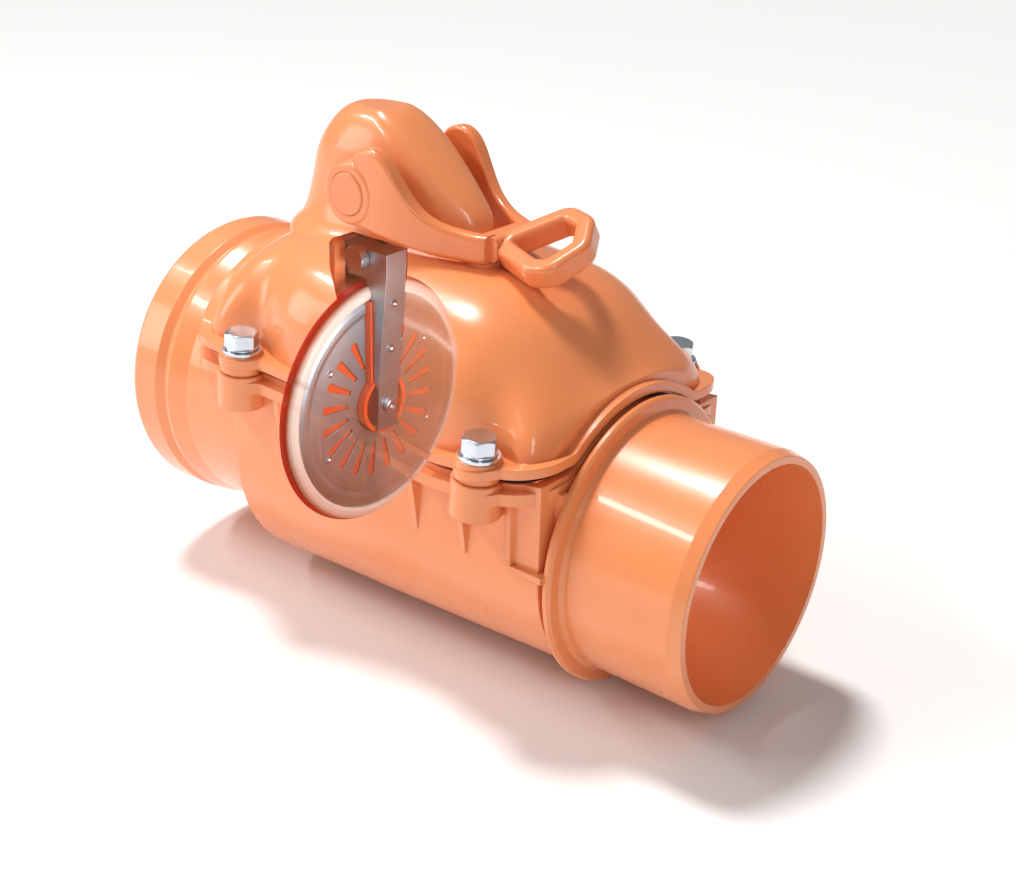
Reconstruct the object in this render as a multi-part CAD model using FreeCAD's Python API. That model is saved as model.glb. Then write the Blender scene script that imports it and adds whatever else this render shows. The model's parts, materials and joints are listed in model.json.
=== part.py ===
import FreeCAD, Part
import math
import os

# Backwater valve for a 110 mm drain: lower housing, bolted cover, hinged flap and emergency lever.
# Millimetres, +Z up. The origin is the centre of the outlet spigot's end face, +X is the flow.

# Pipe connections
pipe_d = 110.0
socket_clearance = 0.4
socket_depth = 62.0
bore_r = 50.3
outlet_wall_r = 57.0
spigot_chamfer = 5.6
collar_x = -59.9
collar_w = 4.0
collar_r = 61.9
inlet_z = 19.0
inlet_end_x = -297.9
seal_groove_depth = 6.1
seal_groove_r = pipe_d / 2 + socket_clearance + seal_groove_depth
bead_r = seal_groove_r + 5.5
inlet_tube_r = seal_groove_r + 1.5
bead_w = 17.5
groove_w = 4.0
seal_groove_w = 9.0
seal_groove_inset = 6.0

# Housing shell
wall = 3.6
chamber_half_w = 63.8
chamber_x0 = -233.0
chamber_x1 = -62.0
chamber_taper_x = -150.0
chamber_bottom_z0 = -61.2
chamber_bottom_z1 = -56.8
chamber_half_w_end = 61.0
end_wall = 5.0

# Flange between housing and cover: the lip dips between the bolt seats
seat_tilt = 3.1
seat_ref_x = -88.0
seat_ref_z = 51.5
lip_line = ((-229.0, 58.3), (-221.0, 57.9), (-200.0, 57.2), (-180.0, 55.8), (-160.0, 53.4),
            (-140.0, 50.2), (-122.0, 46.9), (-108.0, 46.3), (-95.0, 47.8))
lip_slope_in = -0.054
lip_slope_out = 0.123
lip_overhang = 4.7
lip_t = 4.0
rim_step = 0.3
gasket_top = 5.5
gasket_t = 2.0
gasket_inset = 1.2
strip_top = 10.2
strip_t = 5.2
flange_x0 = -258.5
flange_x1 = -61.0
flange_corner_r = 18.0
flange_width = 6.9
outlet_arch_r = 66.5
inlet_arch_r = inlet_tube_r + 8.0
arch_fillet = 7.0

# Cover fastening
bolt_x = (-221.0, -88.0)
bolt_y = 67.0
bolt_r = 4.0
bolt_hole_gap = 0.15
dome_bolt_gap = 1.6
relief_len = 14.0
bolt_len = 20.0
bolt_head_af = 13.0
bolt_head_h = 6.2
bolt_flange_r = 7.2
bolt_flange_h = 1.2
washer_r = 8.5
washer_t = 1.6
cover_boss_r = 9.2
cover_boss_len = 8.4
body_boss_r = 10.5
body_boss_len = 15.4
boss_gap = 0.3
lobe_r = 10.0
insert_r = 5.5
insert_len = 11.0
insert_depth = 2.6

# Ribs of the lower housing
fin_x = (-201.0, -175.5, -150.0, -124.5, -99.0)
fin_t = 3.2
fin_bottom_z = 3.0
web_x0 = -77.0
web_bottom_z = 4.5
web_t = 3.0
web_y = 66.5
tab_x = -243.0
tab_t = 4.0
tab_bottom_z = 14.0

# Flap and its seat
seat_x = -211.7
seat_gap = 0.3
seat_r = 55.0
hinge_x = -224.0
hinge_z = 91.6
flap_r = 58.0
seal_in_r = 47.0
seal_t = 3.0
carrier_t = 2.6
rim_in_r = 51.6
rim_t = 3.0
plate_t = 1.2
plate_gap = 0.2
slot_count = 20
slot_r0 = 20.0
slot_r1 = 34.5
slot_w0 = 1.9
slot_w1 = 4.2
hub_r = 14.0
hub_h = 5.0
rib_t = 1.5
bracket_w = 12.8
bracket_x1 = -193.3
bracket_top_z = 93.0
bracket_neck_z = 79.5
bracket_tail = 12.0
pin_r = 2.5
pin_len = 32.0
clip_r = 4.2
clip_t = 0.8
run_gap = 0.06
ear_gap = 1.0
ear_t = 6.6
ear_r = 6.5
bush_r = 4.2
bush_flange_r = 5.8
bush_flange_t = 0.6
stud_x = -209.0
stud_z = 89.1
stud_r = 3.0
stud_head_r = 5.5
stud_head_t = 4.6
rivet_r = 1.6
rivet_ring_r = 28.0
screw_r = 2.0
screw_head_r = 3.4
screw_head_t = 2.4

# Lever, shaft and lock fork
shaft_x = -191.5
shaft_z = 126.3
shaft_r = 5.0
shaft_square = 7.2
lever_in_y = 24.2
lever_t = 8.0
arm_seat_t = 4.0
lever_boss_r = 13.5
cap_r = 9.2
cap_t = 2.6
cap_ledge_r = 7.2
lever_screw_head_r = 4.6
lever_screw_head_t = 2.0
shaft_bush_r = 7.2
shaft_bush_len = 8.0
cheek_r = 12.0
cheek_y = 23.6
o_ring_t = 2.2
fork_y0 = 7.4
fork_t = 3.8
fork_hub_r = 8.5
fork_tip_z = 95.2
fork_tip_x = -206.9
fork_tip_w = 3.0
lever_throw = 60.0
grip_bar = 9.2
grip_hole_r = 1.2
grip_edge_r = 2.6
grip_h = 11.0

# Cover hump that houses the lock fork
hump_top_z = 157.5


def vec(x, y, z):
    return FreeCAD.Vector(x, y, z)


X_AXIS = vec(1, 0, 0)
Y_AXIS = vec(0, 1, 0)
Z_AXIS = vec(0, 0, 1)
seat_tan = math.tan(math.radians(seat_tilt))


def disc_x(r, x0, x1, z=0.0, y=0.0):
    """Round bar along X from x0 to x1."""
    return Part.makeCylinder(r, x1 - x0, vec(x0, y, z), X_AXIS)


def ring_x(r_out, r_in, x0, x1, z=0.0):
    return disc_x(r_out, x0, x1, z).cut(disc_x(r_in, x0 - 1, x1 + 1, z))


def disc_y(r, y0, y1, x, z):
    """Round bar along Y from y0 to y1."""
    return Part.makeCylinder(r, y1 - y0, vec(x, y0, z), Y_AXIS)


def ring_y(r_out, r_in, y0, y1, x, z):
    return disc_y(r_out, y0, y1, x, z).cut(disc_y(r_in, y0 - 1, y1 + 1, x, z))


def prism_y(points, y0, y1):
    """Polygon of (x, z) points extruded along Y."""
    wire = Part.makePolygon([vec(x, y0, z) for x, z in points + points[:1]])
    return Part.Face(wire).extrude(vec(0, y1 - y0, 0))


def prism_x(points, x0, x1):
    """Polygon of (y, z) points extruded along X."""
    wire = Part.makePolygon([vec(x0, y, z) for y, z in points + points[:1]])
    return Part.Face(wire).extrude(vec(x1 - x0, 0, 0))


def box(x0, x1, y0, y1, z0, z1):
    return Part.makeBox(x1 - x0, y1 - y0, z1 - z0, vec(x0, y0, z0))


def both_sides(shape):
    """The shape and its mirror image across the valve's middle plane."""
    return [shape, shape.mirror(vec(0, 0, 0), Y_AXIS)]


def revolve_x(points, z=0.0):
    """Closed (x, r) outline turned about the X axis at height z."""
    wire = Part.makePolygon([vec(x, 0, z + r) for x, r in points + points[:1]])
    return Part.Face(wire).revolve(vec(0, 0, z), X_AXIS, 360)


def lip_curve():
    """Side view of the lip's top face between the two straight ends."""
    curve = Part.BSplineCurve()
    curve.interpolate(Points=[vec(x, 0, z) for x, z in lip_line], Parameters=[x for x, z in lip_line],
                      InitialTangent=vec(1, 0, lip_slope_in), FinalTangent=vec(1, 0, lip_slope_out))
    return curve


LIP = lip_curve()


def flange_z(x):
    """Height of the cover lip's top face."""
    x_in, z_in = lip_line[0]
    x_out, z_out = lip_line[-1]
    if x < x_in:
        return z_in + (x - x_in) * lip_slope_in
    if x > x_out:
        return z_out + (x - x_out) * lip_slope_out
    return LIP.value(x).z


def seat_z(x):
    """Height of the plane that carries the four bolt seats."""
    return seat_ref_z - (x - seat_ref_x) * seat_tan


def flange_placement(x, y):
    """Placement on a bolt seat with local Z along the bolt."""
    return FreeCAD.Placement(vec(x, y, seat_z(x)), FreeCAD.Rotation(Y_AXIS, seat_tilt))


def bolt_cylinder(r, k0, k1, x, y):
    """Cylinder on a bolt axis between heights k0 and k1 from the lip's top face."""
    shape = Part.makeCylinder(r, k1 - k0, vec(0, 0, k0))
    shape.Placement = flange_placement(x, y)
    return shape


def bolt_places():
    return [(x, side * bolt_y) for x in bolt_x for side in (-1, 1)]


def below_parting(k):
    """Everything under the saddle-shaped parting surface, offset by k from the lip's top face."""
    low = -150.0
    wide = 130.0

    def slab(x0, x1):
        points = [(x0, low), (x1, low), (x1, flange_z(x1) + k), (x0, flange_z(x0) + k)]
        return prism_y(points, -wide, wide)

    def arched(x0, x1, r, z):
        end = slab(x0, x1).fuse(disc_x(r + k, x0, x1, z)).removeSplitter()
        seams = []
        for edge in end.Edges:
            mid = edge.valueAt((edge.FirstParameter + edge.LastParameter) / 2)
            on_arch = abs(math.hypot(mid.y, mid.z - z) - (r + k)) < 0.01
            on_plane = abs(mid.z - flange_z(mid.x) - k) < 0.01
            if on_arch and on_plane and x0 + 0.1 < mid.x < x1 - 0.1:
                seams.append(edge)
        return end.makeFillet(arch_fillet - k, seams)

    x_in = lip_line[0][0]
    x_out = lip_line[-1][0]
    top = LIP.copy()
    top.translate(vec(0, -wide, k))
    start = top.value(x_in)
    end = top.value(x_out)
    corner_a = vec(x_in, -wide, low)
    corner_b = vec(x_out, -wide, low)
    wire = Part.Wire([top.toShape(), Part.makeLine(end, corner_b), Part.makeLine(corner_b, corner_a),
                      Part.makeLine(corner_a, start)])
    middle = Part.Face(wire).extrude(vec(0, 2 * wide, 0))
    outlet = arched(x_out, -30.0, outlet_arch_r, 0.0)
    inlet = arched(-310.0, x_in, inlet_arch_r, inlet_z)
    return middle.fuse([outlet, inlet]).removeSplitter()


def outline_face(inset, lobes=False):
    """Plan outline of the flange, moved inwards by inset, as an upright prism."""
    x0 = flange_x0 + inset
    x1 = flange_x1 - inset
    half = chamber_half_w + lip_overhang - inset
    block = box(x0, x1, -half, half, -10, 200)
    corners = [e for e in block.Edges if abs(e.BoundBox.ZLength - 210) < 0.01]
    block = block.makeFillet(max(flange_corner_r - inset, 2.0), corners)
    if lobes:
        for x, y in bolt_places():
            lobe = Part.makeCylinder(lobe_r, 210, vec(x, y, -10))
            flank = [(x - 2.4 * lobe_r, 0.8 * y), (x - 0.75 * lobe_r, y + 0.66 * math.copysign(lobe_r, y)),
                     (x + 0.75 * lobe_r, y + 0.66 * math.copysign(lobe_r, y)), (x + 2.4 * lobe_r, 0.8 * y)]
            wire = Part.makePolygon([vec(a, b, -10) for a, b in flank + flank[:1]])
            block = block.fuse([lobe, Part.Face(wire).extrude(vec(0, 0, 210))])
        block = block.removeSplitter()
    return block


def corner_half_width(x, inset):
    """Half-width of the flange outline at x, moved inwards by inset."""
    r = flange_corner_r - inset
    half = chamber_half_w + lip_overhang - inset
    for centre, sign in ((flange_x0 + flange_corner_r, -1), (flange_x1 - flange_corner_r, 1)):
        over = (x - centre) * sign
        if over > 0:
            return half - r + math.sqrt(max(r * r - over * over, 0.0))
    return half


# Cover dome: x, height over the flange plane's zero, fullness of the shoulder
DOME = [(-254.3, 90.5, 2.0), (-249.0, 93.0, 2.1), (-242.0, 96.5, 2.4), (-232.0, 100.5, 2.9),
        (-221.0, 103.4, 3.0), (-210.0, 105.2, 3.1), (-196.0, 106.6, 3.1), (-180.0, 107.2, 3.1), (-150.0, 105.0, 3.1), (-132.0, 103.4, 3.1),
        (-112.0, 100.6, 3.1), (-102.0, 97.0, 3.1), (-91.0, 90.8, 3.0), (-83.0, 84.0, 2.8),
        (-76.0, 77.0, 2.6), (-70.0, 71.5, 2.4), (-65.2, 68.2, 2.2)]


def bolt_relief(x):
    """How far the dome's foot is drawn in at x to clear the bolt heads."""
    deepest = chamber_half_w - (bolt_y - washer_r - dome_bolt_gap)
    return max(deepest * math.exp(-((x - xb) / relief_len) ** 2) for xb in bolt_x)


def dome_section(x, half_w, top_z, fullness):
    """Closed section at x: upright sides with a superellipse shoulder over them."""
    base = flange_z(x) - gasket_top - 2.0
    low = 25.0
    points = []
    steps = 16
    for i in range(steps + 1):
        a = math.pi * i / steps
        c = math.cos(a)
        s = math.sin(a)
        y = math.copysign(abs(c) ** (2.0 / fullness), c) * half_w
        z = base + abs(s) ** (2.0 / fullness) * (top_z - base)
        points.append(vec(x, y, z))
    curve = Part.BSplineCurve()
    curve.interpolate(points)
    right = vec(x, half_w, low)
    left = vec(x, -half_w, low)
    edges = [curve.toShape(), Part.makeLine(points[-1], left), Part.makeLine(left, right),
             Part.makeLine(right, points[0])]
    return Part.Wire(edges)


def dome(offset):
    sections = []
    x_first = DOME[0][0]
    x_last = DOME[-1][0]
    span = (x_last - x_first - 2 * offset) / (x_last - x_first)
    for x, top_z, fullness in DOME:
        xs = x_first + offset + (x - x_first) * span
        half = corner_half_width(x, lip_overhang) - bolt_relief(x) - offset
        sections.append(dome_section(xs, half, top_z - offset, fullness))
    return Part.makeLoft(sections, True, False)


# Hump over the lock fork: height, upstream and downstream ends, half-width, squareness of each end
HUMP = [(88.0, -254.0, -118.0, 40.0, 2.2, 2.0), (98.0, -248.0, -126.0, 32.0, 2.3, 1.9),
        (106.0, -242.0, -138.5, 25.5, 2.5, 1.9), (114.0, -238.0, -140.0, 21.5, 2.8, 1.9),
        (119.0, -236.5, -142.0, 20.4, 2.9, 2.0), (124.0, -235.0, -146.0, 19.6, 3.0, 2.1),
        (134.0, -232.5, -157.0, 19.0, 3.0, 2.4), (143.0, -228.5, -168.0, 17.8, 2.8, 2.6),
        (150.0, -223.5, -177.5, 15.5, 2.6, 2.6), (154.5, -218.5, -185.0, 12.5, 2.4, 2.4),
        (157.0, -212.0, -193.0, 8.5, 2.2, 2.2)]


def hump_section(z, x0, x1, half_w, square_in, square_out):
    """Closed egg-shaped curve in a level plane, widest near the lever shaft."""
    centre = min(shaft_x - 3.5, (x0 + x1) / 2 + 20.0)
    points = []
    steps = 40
    for i in range(steps):
        a = 2 * math.pi * (i + 0.5) / steps
        c = math.cos(a)
        s = math.sin(a)
        square = square_out if c > 0 else square_in
        reach = x1 - centre if c > 0 else centre - x0
        x = centre + math.copysign(abs(c) ** (2.0 / square), c) * reach
        y = math.copysign(abs(s) ** (2.0 / square), s) * half_w
        points.append(vec(x, y, z))
    curve = Part.BSplineCurve()
    curve.interpolate(points, PeriodicFlag=True)
    return Part.Wire([curve.toShape()])


def hump(offset):
    wires = []
    for z, x0, x1, half_w, square_in, square_out in HUMP:
        height = z - offset * max(0.0, (z - 130.0) / (hump_top_z - 130.0))
        wires.append(hump_section(height, x0 + offset, x1 - offset, half_w - offset, square_in, square_out))
    return Part.makeLoft(wires, True, False)


def trough_wire(x, half_w, bottom_z, top_z):
    centre_z = bottom_z + half_w
    arc = Part.Arc(vec(x, -half_w, centre_z), vec(x, 0, bottom_z), vec(x, half_w, centre_z)).toShape()
    left = Part.makeLine(vec(x, -half_w, top_z), vec(x, -half_w, centre_z))
    right = Part.makeLine(vec(x, half_w, centre_z), vec(x, half_w, top_z))
    top = Part.makeLine(vec(x, half_w, top_z), vec(x, -half_w, top_z))
    return Part.Wire([left, arc, right, top])


def trough(offset, x0, x1):
    """Chamber shape moved inwards by offset, between x0 and x1."""
    stations = [(chamber_x0, chamber_half_w, chamber_bottom_z0),
                (chamber_taper_x, chamber_half_w, chamber_bottom_z0 + 2.0),
                (chamber_x1, chamber_half_w_end, chamber_bottom_z1)]
    wires = []
    for x, half_w, bottom_z in stations:
        xs = x0 + (x - chamber_x0) * (x1 - x0) / (chamber_x1 - chamber_x0)
        wires.append(trough_wire(xs, half_w - offset, bottom_z + offset, 120.0))
    return Part.makeLoft(wires, True, True)


def socket_outer():
    """Outside of the inlet socket with its bead and groove."""
    x0 = inlet_end_x
    xb = x0 + bead_w
    return revolve_x([(x0, 0), (x0, bead_r - 1.8), (x0 + 0.6, bead_r - 0.6), (x0 + 2.2, bead_r),
                      (xb - 2.0, bead_r - 0.4), (xb - 0.5, bead_r - 1.2), (xb + 0.5 * groove_w, bead_r - 2.6),
                      (xb + groove_w, bead_r - 1.6), (xb + groove_w + 2.0, bead_r - 1.3),
                      (xb + groove_w + 12.0, inlet_tube_r + 0.4), (xb + groove_w + 22.0, inlet_tube_r),
                      (seat_x - 8.0, inlet_tube_r), (seat_x - 8.0, 0)], inlet_z)


def socket_inner():
    """Pipe bore, lip-seal groove, stop shoulder and the passage up to the seat."""
    r = pipe_d / 2 + socket_clearance
    x0 = inlet_end_x
    stop = x0 + socket_depth
    g0 = x0 + seal_groove_inset
    g1 = g0 + seal_groove_w
    return revolve_x([(x0 - 1, 0), (x0 - 1, r + 3.0), (x0, r + 2.0), (x0 + 2.0, r), (g0, r),
                      (g0 + 0.6, seal_groove_r), (g1 - 0.6, seal_groove_r), (g1, r), (stop, r),
                      (stop + 1.0, bore_r), (seat_x + 5, bore_r), (seat_x + 5, 0)], inlet_z)


def ears():
    """Two hinge ears that stand on the inlet stub."""
    y0 = bracket_w / 2 + ear_gap
    y1 = y0 + ear_t
    base = [(chamber_x0 + 1.0, inlet_z + seat_r - 4.0), (seat_x - 6.0, inlet_z + seat_r - 4.0),
            (hinge_x + ear_r, hinge_z), (hinge_x - ear_r - 2.0, hinge_z), (chamber_x0 + 1.0, hinge_z - 6.0)]
    plate = prism_y(base, y0, y1).fuse(disc_y(ear_r, y0, y1, hinge_x, hinge_z))
    plate = plate.fuse(box(chamber_x0 + 1.0, hinge_x, y0, y1, hinge_z - 12.0, hinge_z + ear_r - 2.5))
    plate = plate.removeSplitter().cut(disc_y(bush_r, y0 - 1, y1 + 1, hinge_x, hinge_z))
    return both_sides(plate)


def fins():
    """Tapering fins that hold up the lip along both sides."""
    parts = []
    for x in fin_x:
        top = flange_z(x) - strip_top - 1.0
        outer = chamber_half_w + lip_overhang - 0.6
        inner = chamber_half_w - 2.5
        points = [(-outer, top), (-inner, top), (-inner, fin_bottom_z), (-inner - 1.6, fin_bottom_z + 2.0)]
        parts += both_sides(prism_x(points, x - fin_t / 2, x + fin_t / 2))
    return parts


def corner_webs():
    """Pocketed web under each outlet corner of the flange."""
    x1 = collar_x + 1.0
    top = flange_z(web_x0) - strip_top - 1.0
    inner = 48.0
    slab = box(web_x0, x1, -web_y + 3.0, -inner, web_bottom_z, top)
    low_edge = [e for e in slab.Edges
                if abs(e.BoundBox.YLength - (web_y - 3.0 - inner)) < 0.01
                and abs(e.CenterOfMass.x - web_x0) < 0.01 and abs(e.CenterOfMass.z - web_bottom_z) < 0.01]
    slab = slab.makeFillet(9.0, low_edge)
    pocket_r = 14.5
    pocket_h = top - web_bottom_z - web_t
    pocket = Part.makeCylinder(pocket_r, pocket_h + 1.0,
                               vec(web_x0 + web_t + pocket_r - 0.5, -web_y + 0.5, web_bottom_z + web_t))
    slab = slab.cut(pocket)
    return both_sides(slab)


def inlet_tabs():
    """Stiffening tab beside each inlet boss, with a small foot."""
    top = flange_z(tab_x) - strip_top - 1.0
    points = [(tab_x - 4.0, top), (tab_x + 6.0, top), (tab_x + 9.0, tab_bottom_z + 14.0),
              (tab_x + 2.0, tab_bottom_z + 4.0), (tab_x - 6.0, tab_bottom_z), (tab_x - 9.0, tab_bottom_z + 6.0),
              (tab_x - 2.0, tab_bottom_z + 14.0)]
    tab = prism_y(points, -61.8, -52.0)
    return both_sides(tab)


def make_lower_housing(below_gasket):
    outer = trough(0.0, chamber_x0, chamber_x1)
    end_edges = [e for e in outer.Edges
                 if e.BoundBox.XLength < 0.01 and abs(e.CenterOfMass.x - chamber_x0) < 0.01
                 and e.CenterOfMass.z < 60.0]
    outer = outer.makeChamfer(3.0, end_edges)
    lip = outline_face(0.0, True).cut(outline_face(flange_width))
    under_strip = below_parting(-strip_top - strip_t)
    lip = lip.common(below_parting(-strip_top)).cut(under_strip)
    rim_outside = outline_face(lip_overhang - rim_step).cut(under_strip)
    rim = rim_outside.cut(outline_face(lip_overhang + wall - rim_step))
    shelf = rim_outside.common(box(flange_x0 - 5, chamber_x0 + 2.0, -100, 100, -100, 200))
    outer = outer.fuse([lip, rim, shelf])
    outer = outer.fuse(fins() + corner_webs() + inlet_tabs())
    outer = outer.common(below_gasket).fuse(socket_outer())
    side = chamber_half_w + 0.5
    over_rim = box(-300.0, -30.0, -side, side, -10.0, 200.0)
    over_rim = over_rim.cut(below_parting(-gasket_top - gasket_t - 0.8))
    under_lip = below_parting(-lip_t - boss_gap)
    for x, y in bolt_places():
        boss = bolt_cylinder(body_boss_r, -cover_boss_len - boss_gap - body_boss_len,
                             -cover_boss_len - boss_gap, x, y)
        outer = outer.fuse(boss.cut(over_rim).common(under_lip))
    outer = outer.fuse(disc_x(outlet_wall_r, chamber_x1 - 10, collar_x + collar_w))
    outer = outer.fuse(collar_and_spigot())
    cavity = trough(wall, chamber_x0 + end_wall, chamber_x1 - end_wall)
    stub = disc_x(seat_r, chamber_x0 + 1, seat_x, inlet_z)
    shell = outer.cut(cavity).fuse([stub] + ears())
    shell = shell.cut(socket_inner())
    shell = shell.cut(disc_x(bore_r, chamber_x1 - end_wall - 12, 1.0))
    for x, y in bolt_places():
        shell = shell.cut(bolt_cylinder(bolt_r + bolt_hole_gap, -cover_boss_len - 4, 4.0, x, y))
        shell = shell.cut(bolt_cylinder(insert_r, -cover_boss_len - insert_depth - insert_len,
                                        -cover_boss_len - insert_depth, x, y))
    return shell.removeSplitter()


def collar_and_spigot():
    """Collar ring and the chamfered outlet spigot, as one turned outline."""
    r = pipe_d / 2
    xc = collar_x
    return revolve_x([(chamber_x1 - 4, 0), (chamber_x1 - 4, outlet_wall_r), (xc - 0.4, outlet_wall_r),
                      (xc, collar_r - 1.0), (xc + 1.0, collar_r), (xc + collar_w - 1.2, collar_r),
                      (xc + collar_w, collar_r - 1.2), (xc + collar_w + 0.6, r + 1.6),
                      (xc + collar_w + 2.4, r), (-spigot_chamfer, r), (0, r - 1.5), (0, 0)])


def make_gasket(below_gasket):
    ring = outline_face(lip_overhang + gasket_inset).cut(outline_face(lip_overhang + wall))
    return ring.common(below_parting(-gasket_top)).cut(below_gasket)


def shaft_cheeks():
    """Bosses on the hump that carry the lever shaft."""
    cheek = disc_y(cheek_r, -cheek_y, -8.0, shaft_x, shaft_z)
    rim = [e for e in cheek.Edges if abs(e.CenterOfMass.y + cheek_y) < 0.01]
    return both_sides(cheek.makeFillet(1.8, rim))


def rest_pad():
    """Small tongue on the dome under the lever's neck."""
    pad = box(-144.0, -130.5, -15.0, 15.0, 80.0, 105.2)
    upright = [e for e in pad.Edges if e.BoundBox.ZLength > 20 and e.CenterOfMass.x > -135]
    return pad.makeFillet(5.0, upright)


def make_access_cover():
    above = below_parting(-gasket_top)
    lip = outline_face(0.0, True).common(below_parting(0.0)).cut(below_parting(-lip_t))
    lip = lip.cut(dome(wall / 2))
    shell = dome(0.0).fuse([hump(0.0)] + shaft_cheeks() + [rest_pad()])
    shell = shell.cut([dome(wall), hump(wall - 1.0)])
    shell = shell.cut(above)
    for x, y in bolt_places():
        lip = lip.fuse(bolt_cylinder(cover_boss_r, -cover_boss_len, 0.0, x, y))
    lip = lip.cut(outline_face(lip_overhang - 0.5).common(above))
    shell = shell.fuse(lip)
    for x, y in bolt_places():
        shell = shell.cut(bolt_cylinder(bolt_r + bolt_hole_gap, -cover_boss_len - 1, 12.0, x, y))
        shell = shell.cut(bolt_cylinder(washer_r + 0.6, 0.0, 14.0, x, y))
    shell = shell.cut(disc_y(shaft_bush_r, -cheek_y - 1, cheek_y + 1, shaft_x, shaft_z))
    return shell.removeSplitter()


def hexagon(af, h):
    points = []
    for i in range(7):
        a = math.radians(60 * i)
        points.append(vec(af / math.sqrt(3) * math.cos(a), af / math.sqrt(3) * math.sin(a), 0))
    return Part.Face(Part.makePolygon(points)).extrude(vec(0, 0, h))


def make_bolts():
    shapes = []
    for x, y in bolt_places():
        dome_cut = Part.makeCone(bolt_head_af / 2 + 3.2, bolt_head_af / 2 - 0.3, 3.5, vec(0, 0, bolt_head_h - 3.5))
        head = hexagon(bolt_head_af, bolt_head_h)
        head = head.common(Part.makeCylinder(bolt_head_af, bolt_head_h - 3.5).fuse(dome_cut))
        head.translate(vec(0, 0, washer_t + bolt_flange_h))
        flange = Part.makeCylinder(bolt_flange_r, bolt_flange_h, vec(0, 0, washer_t))
        shank = Part.makeCylinder(bolt_r, bolt_len + washer_t, vec(0, 0, -bolt_len))
        bolt = head.fuse([flange, shank]).removeSplitter()
        bolt.Placement = flange_placement(x, y)
        shapes.append(bolt)
    return Part.makeCompound(shapes)


def make_washers():
    shapes = []
    for x, y in bolt_places():
        washer = Part.makeCylinder(washer_r, washer_t).cut(Part.makeCylinder(bolt_r + 0.05, washer_t))
        washer.Placement = flange_placement(x, y)
        shapes.append(washer)
    return Part.makeCompound(shapes)


def make_inserts():
    shapes = []
    for x, y in bolt_places():
        sleeve = Part.makeCylinder(insert_r - 0.02, insert_len).cut(Part.makeCylinder(bolt_r + 0.05, insert_len))
        sleeve.translate(vec(0, 0, -cover_boss_len - insert_depth - insert_len))
        sleeve.Placement = flange_placement(x, y).multiply(sleeve.Placement)
        shapes.append(sleeve)
    return Part.makeCompound(shapes)


def make_inlet_seal():
    """Rubber lip ring in the socket groove, drawn pressed back by the pipe."""
    r = pipe_d / 2 + socket_clearance
    g0 = inlet_end_x + seal_groove_inset + 0.8
    g1 = g0 + seal_groove_w - 1.6
    return revolve_x([(g0, r + 0.2), (g0, seal_groove_r - 0.1), (g1, seal_groove_r - 0.1), (g1, r + 2.4),
                      (g1 - 2.6, r + 0.2)], inlet_z)


# Flap stack, measured downstream from the seat
face_x = seat_x + seat_gap
carrier_x = face_x + seal_t
back_x = carrier_x + carrier_t


def make_flap_seal():
    return ring_x(flap_r, seal_in_r, face_x, carrier_x, inlet_z)


def make_flap_carrier():
    """Moulded disc with a step for the seal, a centre hub and two ribs beside the bracket."""
    body = disc_x(flap_r - 1.0, carrier_x, back_x, inlet_z)
    body = body.fuse(disc_x(seal_in_r - 0.1, face_x + 0.6, carrier_x, inlet_z))
    body = body.fuse(ring_x(hub_r, hub_r - 2.2, back_x, back_x + hub_h, inlet_z))
    y0 = bracket_w / 2 + 0.2
    for shape in both_sides(box(back_x - 0.5, back_x + hub_h - 1, y0, y0 + rib_t, inlet_z + 10.0,
                                inlet_z + rim_in_r - 1.0)):
        body = body.fuse(shape)
    body = body.cut(bracket_slot())
    body = body.cut(disc_x(screw_r, face_x, back_x + 1, inlet_z))
    for y, z in bracket_rivet_places():
        body = body.cut(disc_x(rivet_r * 0.6, face_x, back_x + 1, z, y))
    for y, z in rivet_places():
        body = body.cut(disc_x(rivet_r * 0.6, face_x, back_x + 1, inlet_z + z, y))
    return body.removeSplitter()


def bracket_slot():
    """Room for the bracket in the pieces it lies across."""
    half = bracket_w / 2 + 0.1
    return box(back_x, back_x + 20, -half, half, inlet_z - bracket_tail - 0.1, inlet_z + 80)


def make_rim_ring():
    """Clamping ring with a rounded outer edge."""
    x0 = back_x
    r = flap_r - 0.6
    ring = revolve_x([(x0, rim_in_r), (x0, r - 0.2), (x0 + 0.8, r), (x0 + 1.6, r - 0.2), (x0 + 2.5, r - 1.0),
                      (x0 + rim_t, r - 2.4), (x0 + rim_t, rim_in_r + 1.4), (x0 + rim_t - 0.8, rim_in_r)], inlet_z)
    return ring.cut(bracket_slot())


def rivet_places():
    angles = (-150.0, -30.0, 36.0, 144.0)
    return [(rivet_ring_r * 1.36 * math.cos(math.radians(a)), rivet_ring_r * 1.36 * math.sin(math.radians(a)))
            for a in angles]


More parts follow.
